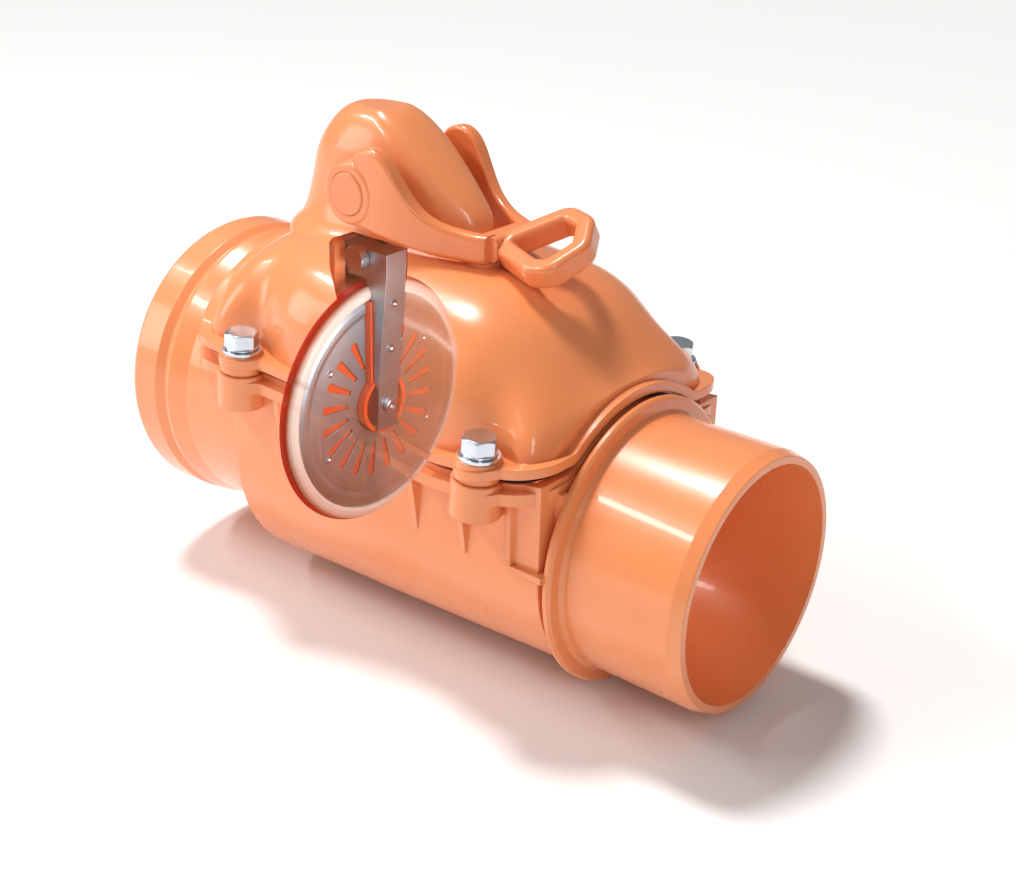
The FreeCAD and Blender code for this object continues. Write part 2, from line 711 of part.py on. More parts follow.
def make_cover_plate():
    """Stainless plate with a ring of wedge slots, open beside the bracket and around the hub."""
    x0 = back_x + 0.0
    x1 = x0 + plate_t
    plate = revolve_x([(x0, hub_r + 0.4), (x0, rim_in_r - 0.1), (x1, rim_in_r - 0.1), (x1 + 0.5, rim_in_r - 3.0),
                       (x1 + 0.5, rim_in_r - 5.0), (x1, rim_in_r - 7.5), (x1, hub_r + 0.4)], inlet_z)
    channel = bracket_w / 2 + rib_t + 0.4
    plate = plate.cut(box(x0 - 1, x1 + 2, -channel, channel, inlet_z, inlet_z + 70))
    for i in range(slot_count):
        a = 360.0 * (i + 0.5) / slot_count
        wedge = Part.Face(Part.makePolygon([vec(x0 - 1, -slot_w0 / 2, slot_r0), vec(x0 - 1, slot_w0 / 2, slot_r0),
                                            vec(x0 - 1, slot_w1 / 2, slot_r1), vec(x0 - 1, -slot_w1 / 2, slot_r1),
                                            vec(x0 - 1, -slot_w0 / 2, slot_r0)])).extrude(vec(4, 0, 0))
        tip = disc_x(slot_w1 / 2, x0 - 1, x0 + 3, slot_r1)
        wedge = wedge.fuse(tip).removeSplitter()
        wedge.rotate(vec(0, 0, 0), X_AXIS, a)
        wedge.translate(vec(0, 0, inlet_z))
        plate = plate.cut(wedge)
    for y, z in rivet_places():
        plate = plate.cut(disc_x(rivet_r * 0.6, x0 - 1, x1 + 2, inlet_z + z, y))
    return plate


def make_plate_rivets():
    shapes = []
    for y, z in rivet_places():
        shank = disc_x(rivet_r * 0.6 - 0.02, face_x + 1.0, back_x + plate_t, inlet_z + z, y)
        head = Part.makeSphere(rivet_r * 1.15, vec(back_x + plate_t - 0.5, y, inlet_z + z), X_AXIS)
        head = head.common(box(back_x + plate_t, back_x + plate_t + 3, y - 3, y + 3, inlet_z + z - 3,
                               inlet_z + z + 3))
        shapes.append(shank.fuse(head).removeSplitter())
    return Part.makeCompound(shapes)


def make_bracket():
    """Steel hinge bracket: deep head over the disc, tapering to the centre screw."""
    x0 = hinge_x - pin_r
    half = bracket_w / 2
    points = [(x0, bracket_top_z), (bracket_x1, bracket_top_z), (bracket_x1, bracket_top_z - 9.0),
              (bracket_x1 - 3.6, inlet_z + 30.0), (bracket_x1 - 6.2, inlet_z - bracket_tail),
              (back_x, inlet_z - bracket_tail), (back_x, bracket_neck_z), (x0 - 1.4, bracket_neck_z),
              (x0 - 1.4, bracket_top_z - 2.0)]
    block = prism_y(points, -half, half)
    block = block.cut(disc_y(pin_r, -half - 1, half + 1, hinge_x, hinge_z - 4.0 + 4.0))
    for y0, y1 in ((-half - 1, -1.5), (1.5, half + 1)):
        block = block.cut(disc_y(stud_r, y0, y1, stud_x, stud_z - 0.5))
    block = block.cut(disc_x(screw_r, back_x - 1, bracket_x1 + 1, inlet_z))
    for x, z in bracket_rivet_places():
        block = block.cut(disc_x(rivet_r * 0.6, back_x - 1, bracket_x1 + 1, z, x))
    return block


def bracket_rivet_places():
    return [(0.0, inlet_z + 50.0), (0.0, inlet_z + 28.0)]


def bracket_face_x(z):
    """Downstream face of the bracket at height z."""
    top = bracket_top_z - 9.0
    mid = inlet_z + 30.0
    low = inlet_z - bracket_tail
    if z > mid:
        return bracket_x1 - 3.6 * (top - z) / (top - mid)
    return bracket_x1 - 3.6 - 2.6 * (mid - z) / (mid - low)


def make_bracket_rivets():
    shapes = []
    for y, z in bracket_rivet_places():
        x1 = bracket_face_x(z)
        shank = disc_x(rivet_r * 0.6 - 0.02, back_x - 1.0, x1 + 0.4, z, y)
        head = Part.makeSphere(rivet_r * 1.15, vec(x1 - 0.2, y, z), X_AXIS)
        head = head.common(box(x1 + 0.25, x1 + 3, y - 3, y + 3, z - 3, z + 3))
        shapes.append(shank.fuse(head).removeSplitter())
    return Part.makeCompound(shapes)


def make_bracket_screw():
    x1 = bracket_face_x(inlet_z) + 0.2
    head = disc_x(screw_head_r, x1, x1 + screw_head_t, inlet_z)
    rim = [e for e in head.Edges if abs(e.CenterOfMass.x - x1 - screw_head_t) < 0.01]
    head = head.makeFillet(1.0, rim)
    socket = disc_x(screw_head_r * 0.45, x1 + 1.0, x1 + 4, inlet_z)
    shank = disc_x(screw_r - 0.02, face_x + 0.8, x1 + 0.1, inlet_z)
    return head.cut(socket).fuse(shank).removeSplitter()


def make_lock_studs():
    half = bracket_w / 2
    stud = disc_y(stud_r - 0.02, -half - 0.3, -1.6, stud_x, stud_z - 0.5)
    head = disc_y(stud_head_r, -half - 0.3 - stud_head_t, -half - 0.3, stud_x, stud_z)
    return Part.makeCompound(both_sides(stud.fuse(head).removeSplitter()))


def make_hinge_pin():
    pin = disc_y(pin_r - 0.01, -pin_len / 2, pin_len / 2, hinge_x, hinge_z)
    return pin.makeChamfer(0.5, [e for e in pin.Edges if abs(abs(e.CenterOfMass.y) - pin_len / 2) < 0.01])


def make_pin_clips():
    y1 = bracket_w / 2 + ear_gap + ear_t + 0.3
    clip = ring_y(clip_r, pin_r + 0.0, -y1 - clip_t, -y1, hinge_x, hinge_z)
    slot = box(hinge_x - 0.9, hinge_x + 0.9, -y1 - 2, -y1 + 1, hinge_z - clip_r - 1, hinge_z)
    return Part.makeCompound(both_sides(clip.cut(slot)))


def make_hinge_bushes():
    y0 = bracket_w / 2 + ear_gap
    y1 = y0 + ear_t
    sleeve = disc_y(bush_r - 0.01, -y1, -y0, hinge_x, hinge_z)
    sleeve = sleeve.fuse(disc_y(bush_flange_r, -y0, -y0 + bush_flange_t, hinge_x, hinge_z))
    sleeve = sleeve.cut(disc_y(pin_r + run_gap, -y1 - 1, -y0 + 2, hinge_x, hinge_z))
    return Part.makeCompound(both_sides(sleeve.removeSplitter()))


# Lever arm, cut square to X: x, y of its middle, lower edge, upper edge, thickness
ARM = [(-188.0, -28.2, 112.6, 144.0, 7.0), (-180.0, -28.2, 112.0, 147.0, 7.0),
       (-172.0, -27.9, 111.0, 143.4, 7.0), (-165.5, -26.7, 110.0, 134.6, 6.8),
       (-158.0, -24.2, 108.2, 125.2, 6.6), (-150.0, -20.9, 106.6, 120.4, 6.6),
       (-140.0, -16.5, 105.8, 118.0, 7.0), (-130.0, -12.0, 105.8, 117.4, 8.0)]


# Grip hole's corners in the ring's own plane, before rounding
GRIP = [(9.5, -3.5), (26.0, -8.5), (29.5, -7.5), (33.3, 2.5), (28.5, 10.8), (22.5, 12.2)]


def rounded_section(x, y, z0, z1, thick, r):
    """Upright rounded rectangle in the plane at x."""
    q = r * (1 - math.sqrt(0.5))
    y0 = y - thick / 2
    y1 = y + thick / 2
    corners = [((y1 - r, z1), (y1 - q, z1 - q), (y1, z1 - r)), ((y1, z0 + r), (y1 - q, z0 + q), (y1 - r, z0)),
               ((y0 + r, z0), (y0 + q, z0 + q), (y0, z0 + r)), ((y0, z1 - r), (y0 + q, z1 - q), (y0 + r, z1))]
    edges = []
    for i, arc in enumerate(corners):
        a, b, c = [vec(x, p, h) for p, h in arc]
        following = vec(x, *corners[(i + 1) % 4][0])
        edges.append(Part.Arc(a, b, c).toShape())
        edges.append(Part.makeLine(c, following))
    return Part.Wire(edges)


def lever_arm():
    wires = [rounded_section(x, y, z0, z1, thick, 2.2) for x, y, z0, z1, thick in ARM]
    arm = Part.makeLoft(wires, True, False)
    y0 = -lever_in_y - lever_t
    boss = disc_y(lever_boss_r, y0, -lever_in_y, shaft_x, shaft_z)
    rim = [e for e in boss.Edges if abs(e.CenterOfMass.y - y0) < 0.01]
    return arm.fuse(boss.makeFillet(2.0, rim))


def grip_loop():
    """Rounded grip ring, twisted up towards its far corner."""
    a = vec(-131.0, 0.0, 113.0)
    b = vec(-103.5, -15.0, 107.5)
    c = vec(-93.0, 10.0, 121.5)
    e1 = (b + c) * 0.5 - a
    e1.normalize()
    e3 = (b - a).cross(c - a)
    e3.normalize()
    e2 = e3.cross(e1)
    core = [vec(p, q, 0) for p, q in GRIP]
    wire = Part.makePolygon(core + core[:1])
    ring = Part.Face(wire.makeOffset2D(grip_bar)).cut(Part.Face(wire.makeOffset2D(grip_hole_r)))
    ring = ring.extrude(vec(0, 0, grip_h))
    ring.translate(vec(0, 0, -grip_h / 2))
    rims = [e for e in ring.Edges if e.BoundBox.ZLength < 0.01]
    ring = ring.makeFillet(grip_edge_r, rims)
    turn = FreeCAD.Matrix(e1.x, e2.x, e3.x, a.x, e1.y, e2.y, e3.y, a.y, e1.z, e2.z, e3.z, a.z, 0, 0, 0, 1)
    ring.Placement = FreeCAD.Placement(turn).multiply(ring.Placement)
    return ring


def make_lever():
    solids = both_sides(lever_arm())
    neck = box(-137.0, -126.0, -13.0, 13.0, 106.5, 117.0)
    neck = neck.makeFillet(2.5, [e for e in neck.Edges if e.BoundBox.YLength > 20])
    lever = solids[0].fuse([solids[1], neck, grip_loop()])
    half = shaft_square / 2 + 0.1
    for side in (-1, 1):
        y_in = side * lever_in_y
        y_out = side * (lever_in_y + lever_t)
        y_seat = side * (lever_in_y + arm_seat_t)
        y_ledge = side * (lever_in_y + lever_t - cap_t + 0.6)
        lo, hi = sorted((y_in - side, y_seat + side))
        lever = lever.cut(box(shaft_x - half, shaft_x + half, lo, hi, shaft_z - half, shaft_z + half))
        lo, hi = sorted((y_seat, y_out + side))
        lever = lever.cut(disc_y(cap_ledge_r, lo, hi, shaft_x, shaft_z))
        lo, hi = sorted((y_ledge, y_out + side))
        lever = lever.cut(disc_y(cap_r + 0.1, lo, hi, shaft_x, shaft_z))
    return lever.removeSplitter()


def make_lever_caps():
    y_ledge = lever_in_y + lever_t - cap_t + 0.6
    cap = disc_y(cap_r, -y_ledge - cap_t, -y_ledge, shaft_x, shaft_z)
    rim = [e for e in cap.Edges if abs(e.CenterOfMass.y + y_ledge + cap_t) < 0.01]
    return Part.makeCompound(both_sides(cap.makeFillet(0.9, rim)))


def make_lever_screws():
    y0 = lever_in_y + arm_seat_t
    head = disc_y(lever_screw_head_r, -y0 - lever_screw_head_t, -y0, shaft_x, shaft_z)
    head = head.cut(disc_y(1.6, -y0 - lever_screw_head_t - 1, -y0 - 0.8, shaft_x, shaft_z))
    shank = disc_y(1.98, -y0, -lever_in_y + 8.0, shaft_x, shaft_z)
    return Part.makeCompound(both_sides(head.fuse(shank).removeSplitter()))


def make_shaft():
    end = lever_in_y + arm_seat_t - 0.2
    half = shaft_square / 2
    shaft = disc_y(shaft_r, -lever_in_y + 0.2, lever_in_y - 0.2, shaft_x, shaft_z)
    shaft = shaft.fuse(box(shaft_x - half, shaft_x + half, -end, end, shaft_z - half, shaft_z + half)
                       .common(disc_y(shaft_r - 0.05, -end, end, shaft_x, shaft_z)))
    for side in (-1, 1):
        lo, hi = sorted((side * (lever_in_y - 9.0), side * (end + 1)))
        shaft = shaft.cut(disc_y(2.0, lo, hi, shaft_x, shaft_z))
    shaft = shaft.cut(disc_x(1.5, shaft_x - 9, shaft_x + 9, shaft_z))
    return shaft.removeSplitter()


def make_shaft_bushes():
    y1 = cheek_y - o_ring_t - 0.3
    sleeve = ring_y(shaft_bush_r - 0.01, shaft_r + run_gap, -y1, -y1 + shaft_bush_len, shaft_x, shaft_z)
    return Part.makeCompound(both_sides(sleeve))


def make_o_rings():
    inner = shaft_r + run_gap
    minor = (shaft_bush_r - 0.02 - inner) / 2
    ring = Part.makeTorus(inner + minor, minor, vec(shaft_x, -cheek_y + 0.2 + minor, shaft_z), Y_AXIS)
    return Part.makeCompound(both_sides(ring))


def turn_about_shaft(shape, angle):
    """Turn the shape about the lever shaft; positive lifts the grip."""
    shape.rotate(vec(shaft_x, 0, shaft_z), vec(0, -1, 0), angle)
    return shape


def make_lock_fork():
    """Hub with two prongs, drawn locked and then turned back to the open lever's place."""
    half = fork_tip_w / 2
    points = [(fork_tip_x - half, fork_tip_z), (fork_tip_x + half, fork_tip_z), (fork_tip_x + half, 106.0),
              (shaft_x + 5.0, shaft_z - 6.0), (shaft_x - 4.0, shaft_z + 7.4), (fork_tip_x - half, 110.0)]
    prong = prism_y(points, -fork_y0 - fork_t, -fork_y0)
    hub = disc_y(fork_hub_r, -fork_y0 - fork_t, fork_y0 + fork_t, shaft_x, shaft_z)
    fork = hub.fuse(both_sides(prong)).removeSplitter()
    fork = fork.cut(disc_y(shaft_r + 0.02, -30, 30, shaft_x, shaft_z))
    fork = turn_about_shaft(fork, -lever_throw)
    return fork.cut(disc_x(1.5, shaft_x - 12, shaft_x + 12, shaft_z))


def make_fork_pin():
    return disc_x(1.48, shaft_x - fork_hub_r + 0.2, shaft_x + fork_hub_r - 0.2, shaft_z)


def export(name, shape):
    solids = shape.Solids
    if len(solids) == 1:
        shape = solids[0]
    else:
        shape = Part.makeCompound(solids)
    if not shape.isValid():
        print("not valid:", name)
    shape.exportStep("parts/" + name + ".step")
    b = shape.optimalBoundingBox(False)
    print("%-18s solids %d volume %9.1f  x %.1f %.1f  y %.1f %.1f  z %.1f %.1f" % (
        name, len(solids), shape.Volume, b.XMin, b.XMax, b.YMin, b.YMax, b.ZMin, b.ZMax))


def main():
    os.makedirs("parts", exist_ok=True)
    below_gasket = below_parting(-gasket_top - gasket_t)
    export("lower_housing", make_lower_housing(below_gasket))
    export("access_cover", make_access_cover())
    export("cover_gasket", make_gasket(below_gasket))
    export("cover_bolts", make_bolts())
    export("bolt_washers", make_washers())
    export("bolt_inserts", make_inserts())
    export("inlet_lip_seal", make_inlet_seal())
    export("hinge_bushes", make_hinge_bushes())
    export("flap_seal", make_flap_seal())
    export("flap_carrier", make_flap_carrier())
    export("flap_rim_ring", make_rim_ring())
    export("flap_cover_plate", make_cover_plate())
    export("plate_rivets", make_plate_rivets())
    export("hinge_bracket", make_bracket())
    export("bracket_rivets", make_bracket_rivets())
    export("bracket_screw", make_bracket_screw())
    export("lock_studs", make_lock_studs())
    export("hinge_pin", make_hinge_pin())
    export("hinge_pin_clips", make_pin_clips())
    export("lever_yoke", make_lever())
    export("lever_caps", make_lever_caps())
    export("lever_screws", make_lever_screws())
    export("lock_shaft", make_shaft())
    export("shaft_bushes", make_shaft_bushes())
    export("shaft_o_rings", make_o_rings())
    export("lock_fork", make_lock_fork())
    export("fork_pin", make_fork_pin())


main()
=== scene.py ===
import json
import math

import bpy
from mathutils import Matrix, Vector


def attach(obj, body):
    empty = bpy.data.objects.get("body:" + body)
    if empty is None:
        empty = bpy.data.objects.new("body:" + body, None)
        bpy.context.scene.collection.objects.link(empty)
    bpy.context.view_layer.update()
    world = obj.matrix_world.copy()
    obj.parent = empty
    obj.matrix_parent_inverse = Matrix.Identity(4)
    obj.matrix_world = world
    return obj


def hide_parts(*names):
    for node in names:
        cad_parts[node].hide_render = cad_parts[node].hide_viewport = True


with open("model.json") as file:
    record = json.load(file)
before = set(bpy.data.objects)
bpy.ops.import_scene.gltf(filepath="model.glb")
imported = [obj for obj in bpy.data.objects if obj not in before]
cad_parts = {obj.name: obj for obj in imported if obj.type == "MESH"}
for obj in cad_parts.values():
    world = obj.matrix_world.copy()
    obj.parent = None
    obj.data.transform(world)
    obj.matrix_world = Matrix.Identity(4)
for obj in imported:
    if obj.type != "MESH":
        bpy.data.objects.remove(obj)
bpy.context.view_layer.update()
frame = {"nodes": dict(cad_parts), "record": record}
nodes = frame["nodes"]
bodies = frame["record"]["behaviour"]["bodies"]
bodyOfNode = {node: body for body, members in bodies.items() for node in members}
print("frame loaded:", len(nodes), "nodes")

# small helpers


def linearColor(hexText):
    channels = [int(hexText[i:i + 2], 16) / 255 for i in (1, 3, 5)]
    return tuple(c / 12.92 if c <= 0.04045 else ((c + 0.055) / 1.055) ** 2.4 for c in channels) + (1.0,)


def addNode(tree, kind, values=None, feeds=None, **settings):
    node = tree.nodes.new(kind)
    for name, value in settings.items():
        setattr(node, name, value)
    for socket, value in (values or {}).items():
        node.inputs[socket].default_value = value
    for socket, source in (feeds or {}).items():
        tree.links.new(source, node.inputs[socket])
    return node


def newMaterial(name):
    material = bpy.data.materials.new(name)
    material.use_nodes = True
    material.node_tree.nodes.clear()
    return material, material.node_tree


def deselectAll():
    if bpy.context.object and bpy.context.object.mode != "OBJECT":
        bpy.ops.object.mode_set(mode="OBJECT")
    bpy.ops.object.select_all(action="DESELECT")


def joinPieces(pieces, name):
    deselectAll()
    for piece in pieces:
        piece.select_set(True)
    bpy.context.view_layer.objects.active = pieces[0]
    bpy.ops.object.join()
    pieces[0].name = name
    return pieces[0]


def copyPiece(piece):
    deselectAll()
    piece.select_set(True)
    bpy.context.view_layer.objects.active = piece
    bpy.ops.object.duplicate()
    return bpy.context.object


def settle(piece, angle=35):
    deselectAll()
    piece.select_set(True)
    bpy.context.view_layer.objects.active = piece
    bpy.ops.object.transform_apply(location=True, rotation=True, scale=True)
    bpy.ops.object.mode_set(mode="EDIT")
    bpy.ops.mesh.select_all(action="SELECT")
    bpy.ops.mesh.remove_doubles(threshold=1e-6)
    bpy.ops.mesh.normals_make_consistent(inside=False)
    bpy.ops.object.mode_set(mode="OBJECT")
    bpy.ops.object.shade_smooth_by_angle(angle=math.radians(angle))


def bevelEdges(piece, width, segments=3, angle=30):
    modifier = piece.modifiers.new("edges", "BEVEL")
    modifier.width = width
    modifier.segments = segments
    modifier.limit_method = "ANGLE"
    modifier.angle_limit = math.radians(angle)
    modifier.harden_normals = False
    bpy.context.view_layer.objects.active = piece
    bpy.ops.object.modifier_apply(modifier=modifier.name)


def dress(piece, material, node):
    piece.data.materials.clear()
    piece.data.materials.append(material)
    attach(piece, bodyOfNode[node])
    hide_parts(node)


# camera

cameraView = {"place": (0.270513, -0.496227, 0.317137), "right": (0.771811, 0.635300, 0.026508),
              "up": (-0.284498, 0.307747, 0.907939), "back": (0.568656, -0.708298, 0.418264),
              "lens": 57.47, "sensor": 36.0}
cameraData = bpy.data.cameras.new("studioCamera")
cameraData.lens = cameraView["lens"]
cameraData.sensor_width = cameraView["sensor"]
cameraData.clip_start = 0.01
camera = bpy.data.objects.new("studioCamera", cameraData)
bpy.context.collection.objects.link(camera)
axes = [Vector(cameraView[key]) for key in ("right", "up", "back")]
camera.matrix_world = Matrix.Translation(Vector(cameraView["place"])) @ Matrix(axes).transposed().to_4x4()
bpy.context.scene.camera = camera
bpy.context.scene.view_settings.view_transform = "Standard"
print("camera placed")

# see-through window of the shell

# The photograph shows the flap through the side of the shell. The window is fixed in the part's own frame:
# a point of the shell is carried along the line from one fixed eye point on to the flap's plane, and tested
# there. The eye point is where the photograph was taken from, so from there it lines up with the shut flap.
window = {"eye": cameraView["place"], "planeX": -0.2085, "centre": (0.0, 0.019), "radius": 0.0587,
          "flapShare": (0.95, 0.66), "fade": (0.0, 0.058), "blockShare": 0.97, "margin": 0.0006,
          "shortSide": 0.0012}


def onFlapPlane(point):
    eye = Vector(window["eye"])
    share = (window["planeX"] - eye.x) / (point.x - eye.x)
    return (eye.y + (point.y - eye.y) * share, eye.z + (point.z - eye.z) * share)


def hullOf(points):
    points = sorted(set((round(a, 5), round(b, 5)) for a, b in points))

    def half(run):
        chain = []
        for p in run:
            while len(chain) > 1 and ((chain[-1][0] - chain[-2][0]) * (p[1] - chain[-2][1])
                                      - (chain[-1][1] - chain[-2][1]) * (p[0] - chain[-2][0])) <= 0:
                chain.pop()
            chain.append(p)
        return chain[:-1]

    return half(points) + half(points[::-1])


def windowMask(tree):
    eye = window["eye"]
    vector, scalar = "ShaderNodeVectorMath", "ShaderNodeMath"
    # where the line from the eye point through the surface meets the flap's plane
    place = addNode(tree, "ShaderNodeTexCoord").outputs["Object"]
    fromEye = addNode(tree, vector, {1: eye}, {0: place}, operation="SUBTRACT").outputs[0]
    depth = addNode(tree, "ShaderNodeSeparateXYZ", feeds={0: fromEye}).outputs["X"]
    share = addNode(tree, scalar, {0: window["planeX"] - eye[0]}, {1: depth}, operation="DIVIDE").outputs[0]
    carried = addNode(tree, vector, feeds={0: fromEye, "Scale": share}, operation="SCALE").outputs[0]
    landed = addNode(tree, vector, {1: eye}, {0: carried}, operation="ADD").outputs[0]
    # the flap's disc, which fades towards its far side
    centre = (window["planeX"], *window["centre"])
    reach = addNode(tree, vector, {1: centre}, {0: landed}, operation="DISTANCE").outputs["Value"]
    disc = addNode(tree, scalar, {1: window["radius"]}, {0: reach}, operation="LESS_THAN").outputs[0]
    across = addNode(tree, "ShaderNodeSeparateXYZ", feeds={0: landed}).outputs["Y"]
    fade = {"From Min": window["fade"][0], "From Max": window["fade"][1],
            "To Min": window["flapShare"][0], "To Max": window["flapShare"][1]}
    flapShare = addNode(tree, "ShaderNodeMapRange", fade, {"Value": across}).outputs["Result"]
    disc = addNode(tree, scalar, feeds={0: disc, 1: flapShare}, operation="MULTIPLY").outputs[0]
    # the outline of the hinge bracket, one test for each of its sides
    corners = hullOf([onFlapPlane(v.co) for v in nodes["hinge_bracket"].data.vertices])
    block = None
    for (ya, za), (yb, zb) in zip(corners, corners[1:] + corners[:1]):
        run = math.hypot(yb - ya, zb - za)
        if run < window["shortSide"]:
            continue
        inwards = (0.0, -(zb - za) / run, (yb - ya) / run)
        limit = inwards[1] * ya + inwards[2] * za - window["margin"]
        side = addNode(tree, vector, {1: inwards}, {0: landed}, operation="DOT_PRODUCT").outputs["Value"]
        inside = addNode(tree, scalar, {1: limit}, {0: side}, operation="GREATER_THAN").outputs[0]
        if block:
            inside = addNode(tree, scalar, feeds={0: block, 1: inside}, operation="MULTIPLY").outputs[0]
        block = inside
    block = addNode(tree, scalar, {1: window["blockShare"]}, {0: block}, operation="MULTIPLY").outputs[0]
    # either of them, on the shell's nearer side only
    either = addNode(tree, scalar, feeds={0: disc, 1: block}, operation="MAXIMUM").outputs[0]
    nearer = addNode(tree, scalar, {1: 1.0}, {0: share}, operation="GREATER_THAN").outputs[0]
    seen = addNode(tree, scalar, feeds={0: either, 1: nearer}, operation="MULTIPLY").outputs[0]
    return addNode(tree, scalar, {0: 1.0}, {1: seen}, operation="SUBTRACT").outputs[0]


# materials

cloudStyle = {"detail": 3.0, "deepAt": 0.3, "lightAt": 0.7}
bevelSamples = 4
flowDepth = 0.001
grainDepth = 0.0002
plasticSpread = (-0.04, 0.05)
metalSpread = (-0.06, 0.08)


def toneOf(tree, place, style):
    scale = {"Scale": style["cloudScale"], "Detail": cloudStyle["detail"]}
    cloud = addNode(tree, "ShaderNodeTexNoise", scale, {"Vector": place})
    ramp = addNode(tree, "ShaderNodeValToRGB", feeds={"Fac": cloud.outputs["Fac"]})
    stops = ramp.color_ramp.elements
    stops[0].position = cloudStyle["deepAt"]
    stops[0].color = linearColor(style["deep"])
    stops[1].position = cloudStyle["lightAt"]
    stops[1].color = linearColor(style["light"])
    return ramp.outputs["Color"]


def roughnessOf(tree, pattern, style, spread):
    limits = {"To Min": style["roughness"] + spread[0], "To Max": style["roughness"] + spread[1]}
    return addNode(tree, "ShaderNodeMapRange", limits, {"Value": pattern}).outputs["Result"]


def mouldedPlastic(name, style, see=False):
    material, tree = newMaterial(name)
    place = addNode(tree, "ShaderNodeTexCoord").outputs["Object"]
    tone = toneOf(tree, place, style)
    grain = addNode(tree, "ShaderNodeTexNoise", {"Scale": style["grainScale"], "Detail": 2.0},
                    {"Vector": place})
    flow = addNode(tree, "ShaderNodeTexNoise", {"Scale": style["flowScale"], "Detail": 1.0},
                   {"Vector": place})
    edge = addNode(tree, "ShaderNodeBevel", {"Radius": style["edgeRadius"]}, samples=bevelSamples)
    soft = addNode(tree, "ShaderNodeBump", {"Strength": style["flowStrength"], "Distance": flowDepth},
                   {"Height": flow.outputs["Fac"], "Normal": edge.outputs["Normal"]})
    fine = addNode(tree, "ShaderNodeBump", {"Strength": style["grainStrength"], "Distance": grainDepth},
                   {"Height": grain.outputs["Fac"], "Normal": soft.outputs["Normal"]})
    rough = roughnessOf(tree, flow.outputs["Fac"], style, plasticSpread)
    shader = addNode(tree, "ShaderNodeBsdfPrincipled",
                     {"IOR": style["ior"], "Coat Weight": style["coat"],
                      "Coat Roughness": style["coatRoughness"]},
                     {"Base Color": tone, "Roughness": rough, "Normal": fine.outputs["Normal"]})
    if see:
        tree.links.new(windowMask(tree), shader.inputs["Alpha"])
    addNode(tree, "ShaderNodeOutputMaterial", feeds={"Surface": shader.outputs["BSDF"]})
    return material


# The housing and cover are injection-moulded polypropylene: even colour, a soft sheen from the polished tool,
# slight flow waves where the melt met, and edges rounded by the tool, which catch a thin line of light.
orangeStyle = {"deep": "#EC8A52", "light": "#F3965F", "cloudScale": 9.0, "grainScale": 2200.0,
               "grainStrength": 0.10, "flowScale": 34.0, "flowStrength": 0.06, "roughness": 0.27,
               "coat": 0.4, "coatRoughness": 0.08, "ior": 1.49, "edgeRadius": 0.0008}
orangeShell = mouldedPlastic("polypropyleneOrangeMoulded", orangeStyle, see=True)
# The lever is moulded glass-filled polyamide in the same orange, a little deeper, with tighter edges.
leverStyle = dict(orangeStyle, deep="#E8824B", light="#F08D57", roughness=0.27, edgeRadius=0.0007)
leverPlastic = mouldedPlastic("polyamideOrangeMoulded", leverStyle)
# The flap's disc is moulded in dark orange, so it shows through the plate's slots.
flapStyle = dict(orangeStyle, deep="#B8431C", light="#D2521F", roughness=0.35, coat=0.1, edgeRadius=0.0003)
flapPlastic = mouldedPlastic("polypropyleneFlapDeepOrange", flapStyle)
# The clamping ring is moulded acetal: off-white, dense, with a waxy low sheen.
rimStyle = dict(orangeStyle, deep="#D8D0C6", light="#E6DED4", roughness=0.38, coat=0.15, edgeRadius=0.0004)
rimPlastic = mouldedPlastic("acetalRimOffWhite", rimStyle)
# The bushes are turned from natural acetal rod: duller, as the tool leaves fine marks.
bushStyle = dict(rimStyle, deep="#E0DCD0", light="#E9E6DC", roughness=0.45, coat=0.0)
bushPlastic = mouldedPlastic("acetalBushNatural", bushStyle)
# The flap's seal is pressed red silicone: dull, a little powdery, with rounded edges.
redStyle = dict(orangeStyle, deep="#DA0E18", light="#EE1E28", roughness=0.42, coat=0.1, grainStrength=0.2,
                edgeRadius=0.0003)
redRubber = mouldedPlastic("siliconeSealRed", redStyle)
# Gasket and lip seal are moulded black rubber: matt, dark grey where the light grazes them.
blackStyle = dict(orangeStyle, deep="#161617", light="#202022", roughness=0.55, coat=0.0, grainStrength=0.25,
                  edgeRadius=0.0003)
blackRubber = mouldedPlastic("epdmRubberBlack", blackStyle, see=True)
print("plastics made")


def wroughtMetal(name, style):
    material, tree = newMaterial(name)
    place = addNode(tree, "ShaderNodeTexCoord").outputs["Object"]
    turned = addNode(tree, "ShaderNodeMapping", {"Scale": style["brushScale"]}, {"Vector": place})
    brush = addNode(tree, "ShaderNodeTexNoise", {"Scale": 1.0, "Detail": 4.0},
                    {"Vector": turned.outputs["Vector"]})
    tone = toneOf(tree, place, style)
    rough = roughnessOf(tree, brush.outputs["Fac"], style, metalSpread)
    edge = addNode(tree, "ShaderNodeBevel", {"Radius": style["edgeRadius"]}, samples=bevelSamples)
    lines = addNode(tree, "ShaderNodeBump", {"Strength": style["brushStrength"], "Distance": grainDepth},
                    {"Height": brush.outputs["Fac"], "Normal": edge.outputs["Normal"]})
    shader = addNode(tree, "ShaderNodeBsdfPrincipled", {"Metallic": 1.0},
                     {"Base Color": tone, "Roughness": rough, "Normal": lines.outputs["Normal"]})
    addNode(tree, "ShaderNodeOutputMaterial", feeds={"Surface": shader.outputs["BSDF"]})
    return material


# The flap's plate and hinge bracket are cold-rolled stainless sheet, brushed before it was punched and
# folded: long fine lines that spread each highlight across them.
sheetStyle = {"deep": "#93A4AC", "light": "#B1C0C8", "cloudScale": 40.0, "brushScale": (300.0, 90.0, 2600.0),
              "brushStrength": 0.18, "roughness": 0.42, "edgeRadius": 0.0003}
stainlessSheet = wroughtMetal("stainlessSteelBrushed", sheetStyle)
